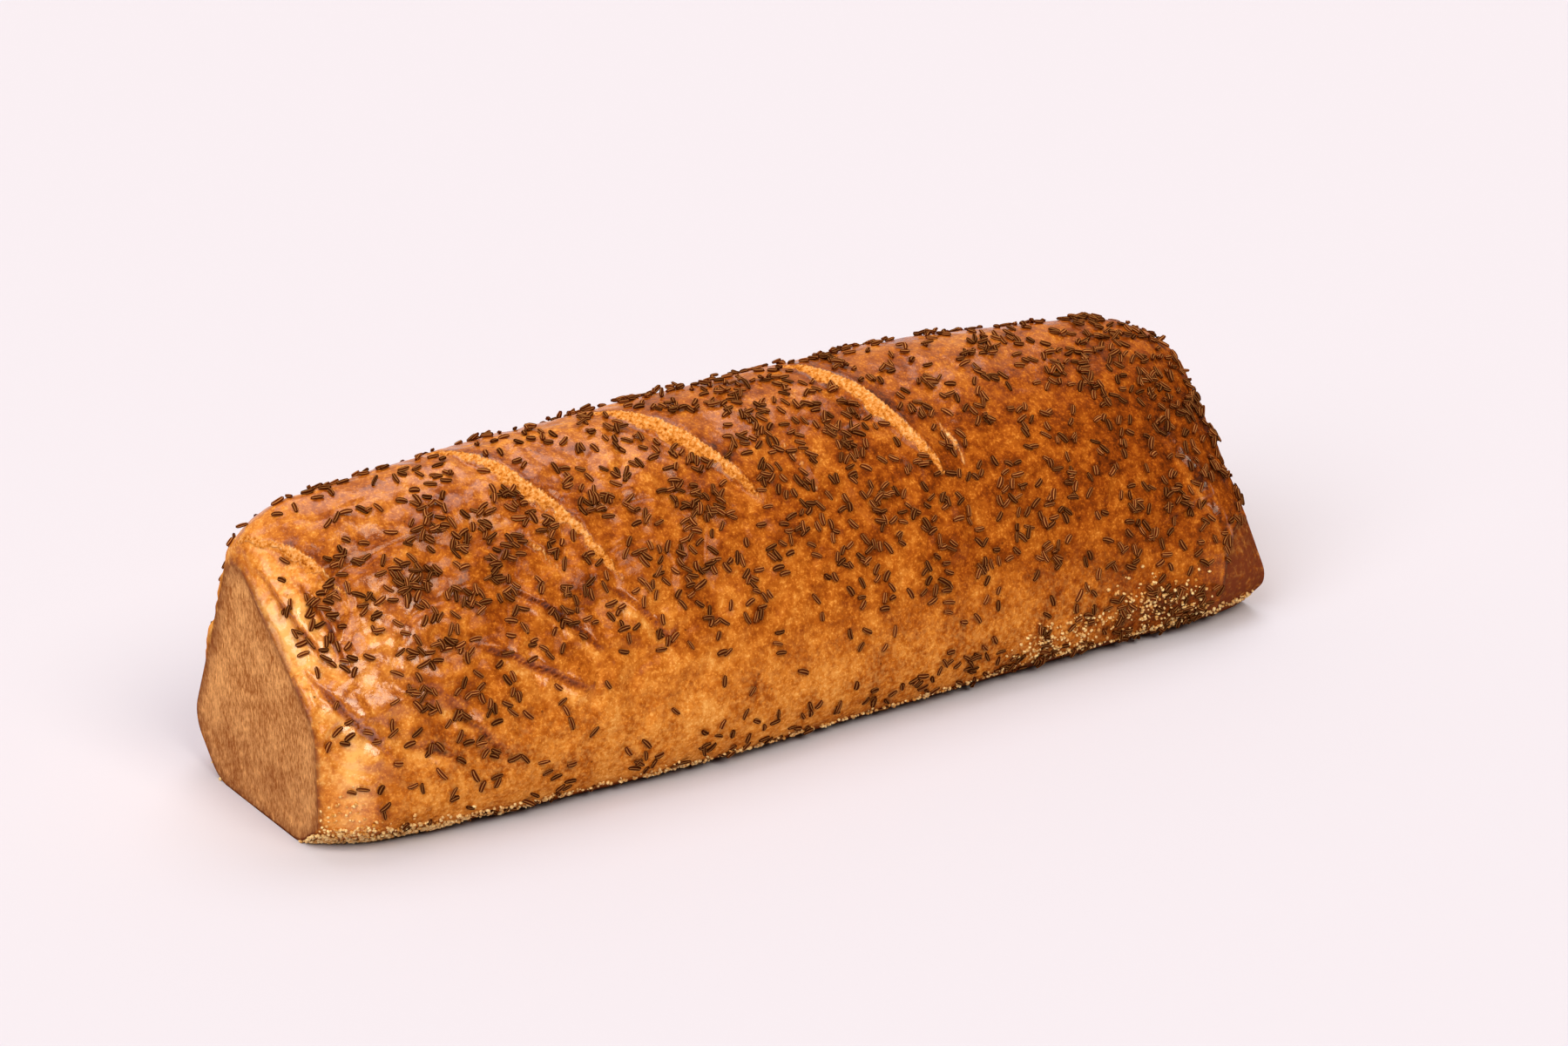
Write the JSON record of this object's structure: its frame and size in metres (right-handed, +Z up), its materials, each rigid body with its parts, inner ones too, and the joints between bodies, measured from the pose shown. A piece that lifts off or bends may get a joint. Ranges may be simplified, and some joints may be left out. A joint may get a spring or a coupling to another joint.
{
  "type": "rye bread loaf",
  "caption": "Long hearth-baked rye bread loaf with a domed glossy crust, diagonal slashes across its crown, caraway seeds all over and flat matte ends.",
  "frame": {"origin": "middle of the flat base, on the surface that the loaf rests on", "axes": "+X along the loaf towards its wider end, +Z up; the slashes run out low on the -Y side"},
  "size_m": [0.38, 0.134, 0.1101],
  "materials": {
    "crust": "baked rye crust with a thin starch glaze, orange brown, paler and matter towards the base"
  },
  "bodies": {
    "root": {"loaf": "crust"}
  },
  "joints": []
}
